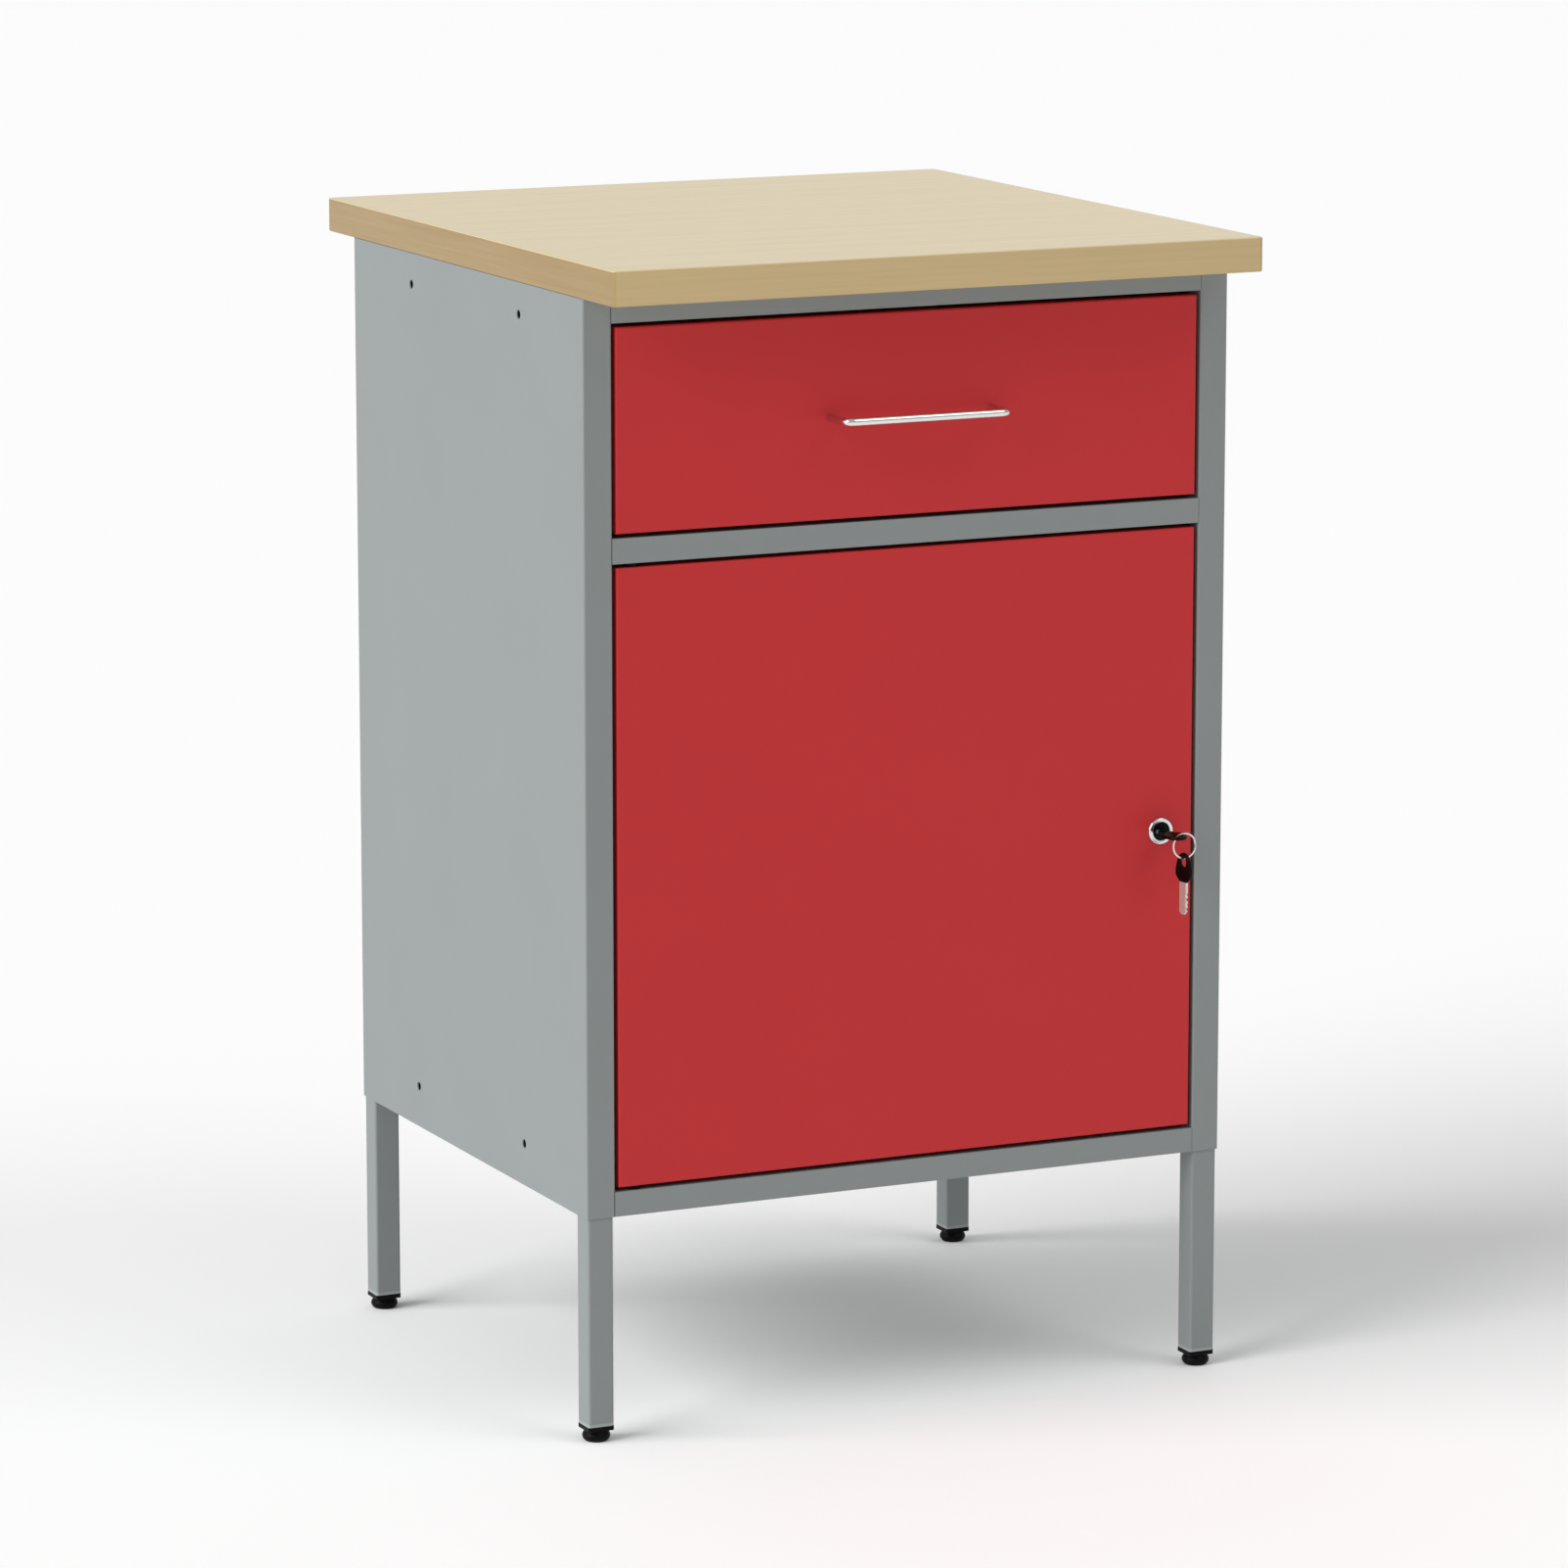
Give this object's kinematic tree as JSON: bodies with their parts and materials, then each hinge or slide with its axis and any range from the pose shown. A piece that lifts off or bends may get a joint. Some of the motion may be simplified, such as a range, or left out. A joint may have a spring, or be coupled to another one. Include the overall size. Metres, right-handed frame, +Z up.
{
  "type": "workbench tool cabinet",
  "caption": "Steel tool cabinet on square legs under a wooden worktop, with a drawer on ball runners over a cupboard whose hinged door locks with a cam and key.",
  "frame": {"origin": "on the floor, at the centre of the bounding box's bottom face", "axes": "+X to the right as seen from the front, +Y to the back, +Z up; the door and drawer face -Y"},
  "size_m": [0.51, 0.535, 0.85],
  "materials": {
    "grey_paint": "satin powder coat",
    "red_paint": "satin powder coat",
    "worktop_wood": "lacquered pale beech",
    "zinc_steel": "zinc plated sheet",
    "hardware_steel": "bright zinc plated",
    "ball_steel": "polished",
    "handle_chrome": "polished",
    "lock_chrome": "polished",
    "key_steel": "nickel plated",
    "black_plastic": "moulded",
    "key_plastic": "moulded",
    "buffer_rubber": "moulded"
  },
  "bodies": {
    "carcass": {"worktop": "worktop_wood", "side_panel_left": "grey_paint", "side_panel_right": "grey_paint", "back_panel": "grey_paint", "leg_post_front_left": "grey_paint", "leg_post_front_right": "grey_paint", "leg_post_rear_left": "grey_paint", "leg_post_rear_right": "grey_paint", "front_rail_top": "grey_paint", "front_rail_middle": "grey_paint", "front_rail_bottom": "grey_paint", "cupboard_floor": "grey_paint", "drawer_divider": "grey_paint", "shelf": "grey_paint", "shelf_bearer_left": "grey_paint", "shelf_bearer_right": "grey_paint", "runner_bracket_left": "grey_paint", "runner_bracket_right": "grey_paint", "runner_outer_left": "zinc_steel", "runner_outer_right": "zinc_steel", "runner_screws": "hardware_steel", "leg_plugs": "black_plastic", "worktop_screws": "hardware_steel", "hinge_pins": "hardware_steel", "door_stops": "grey_paint", "door_buffers": "buffer_rubber"},
    "drawer": {"drawer_front": "red_paint", "drawer_box_walls": "grey_paint", "drawer_box_floor": "grey_paint", "drawer_handle": "handle_chrome", "handle_screws": "hardware_steel", "runner_inner_left": "zinc_steel", "runner_inner_right": "zinc_steel", "drawer_runner_screws": "hardware_steel"},
    "runner_middle_left": {"runner_middle_left": "zinc_steel"},
    "runner_middle_right": {"runner_middle_right": "zinc_steel"},
    "cage_outer_left": {"ball_cage_outer_left": "ball_steel"},
    "cage_outer_right": {"ball_cage_outer_right": "ball_steel"},
    "cage_inner_left": {"ball_cage_inner_left": "ball_steel"},
    "cage_inner_right": {"ball_cage_inner_right": "ball_steel"},
    "door": {"door_panel": "red_paint", "door_stiffener": "red_paint", "hinge_bushes": "black_plastic", "lock_housing": "lock_chrome", "lock_nut": "hardware_steel"},
    "lock_plug": {"lock_plug": "key_plastic", "lock_cam": "hardware_steel", "cam_screw": "hardware_steel", "key_head": "key_plastic", "key_blade": "key_steel"},
    "key_ring": {"key_ring": "key_steel"},
    "spare_key": {"spare_key_head": "key_plastic", "spare_key_blade": "key_steel"},
    "foot_front_left": {"levelling_foot_front_left": "black_plastic"},
    "foot_front_right": {"levelling_foot_front_right": "black_plastic"},
    "foot_rear_left": {"levelling_foot_rear_left": "black_plastic"},
    "foot_rear_right": {"levelling_foot_rear_right": "black_plastic"}
  },
  "joints": [
    {"name": "drawer_slide", "type": "slide", "parent": "carcass", "child": "drawer", "axis": [0, -1, 0], "range_m": [0, 0.38]},
    {"name": "runner_middle_left_slide", "type": "slide", "parent": "carcass", "child": "runner_middle_left", "axis": [0, -1, 0], "range_m": [0, 0.19]},
    {"name": "cage_outer_left_slide", "type": "slide", "parent": "carcass", "child": "cage_outer_left", "axis": [0, -1, 0], "range_m": [0, 0.095]},
    {"name": "cage_inner_left_slide", "type": "slide", "parent": "carcass", "child": "cage_inner_left", "axis": [0, -1, 0], "range_m": [0, 0.285]},
    {"name": "runner_middle_right_slide", "type": "slide", "parent": "carcass", "child": "runner_middle_right", "axis": [0, -1, 0], "range_m": [0, 0.19]},
    {"name": "cage_outer_right_slide", "type": "slide", "parent": "carcass", "child": "cage_outer_right", "axis": [0, -1, 0], "range_m": [0, 0.095]},
    {"name": "cage_inner_right_slide", "type": "slide", "parent": "carcass", "child": "cage_inner_right", "axis": [0, -1, 0], "range_m": [0, 0.285]},
    {"name": "door_swing", "type": "hinge", "parent": "carcass", "child": "door", "pos_m": [-0.216, -0.2065, 0.4105], "axis": [0, 0, -1], "range_deg": [0, 110]},
    {"name": "lock_turn", "type": "hinge", "parent": "door", "child": "lock_plug", "pos_m": [0.204, -0.2145, 0.4105], "axis": [0, 1, 0], "range_deg": [0, 90]},
    {"name": "key_ring_turn", "type": "hinge", "parent": "lock_plug", "child": "key_ring", "pos_m": [0.2093, -0.242, 0.4105], "axis": [0, 1, 0], "range_deg": [-90, 0]},
    {"name": "spare_key_swing", "type": "hinge", "parent": "key_ring", "child": "spare_key", "pos_m": [0.2093, -0.242, 0.3947], "axis": [1, 0, 0], "range_deg": [-70, 30]},
    {"name": "foot_front_left_turn", "type": "hinge", "parent": "carcass", "child": "foot_front_left", "pos_m": [-0.244, -0.2035, 0.0085], "axis": [0, 0, 1], "continuous": true},
    {"name": "foot_front_right_turn", "type": "hinge", "parent": "carcass", "child": "foot_front_right", "pos_m": [0.244, -0.2035, 0.0085], "axis": [0, 0, 1], "continuous": true},
    {"name": "foot_rear_left_turn", "type": "hinge", "parent": "carcass", "child": "foot_rear_left", "pos_m": [-0.244, 0.2045, 0.0085], "axis": [0, 0, 1], "continuous": true},
    {"name": "foot_rear_right_turn", "type": "hinge", "parent": "carcass", "child": "foot_rear_right", "pos_m": [0.244, 0.2045, 0.0085], "axis": [0, 0, 1], "continuous": true}
  ],
  "couplings": [
    {"joint": "runner_middle_left_slide", "follows": "drawer_slide", "ratio": 0.5},
    {"joint": "cage_outer_left_slide", "follows": "drawer_slide", "ratio": 0.25},
    {"joint": "cage_inner_left_slide", "follows": "drawer_slide", "ratio": 0.75},
    {"joint": "runner_middle_right_slide", "follows": "drawer_slide", "ratio": 0.5},
    {"joint": "cage_outer_right_slide", "follows": "drawer_slide", "ratio": 0.25},
    {"joint": "cage_inner_right_slide", "follows": "drawer_slide", "ratio": 0.75},
    {"joint": "key_ring_turn", "follows": "lock_turn", "ratio": -1}
  ]
}
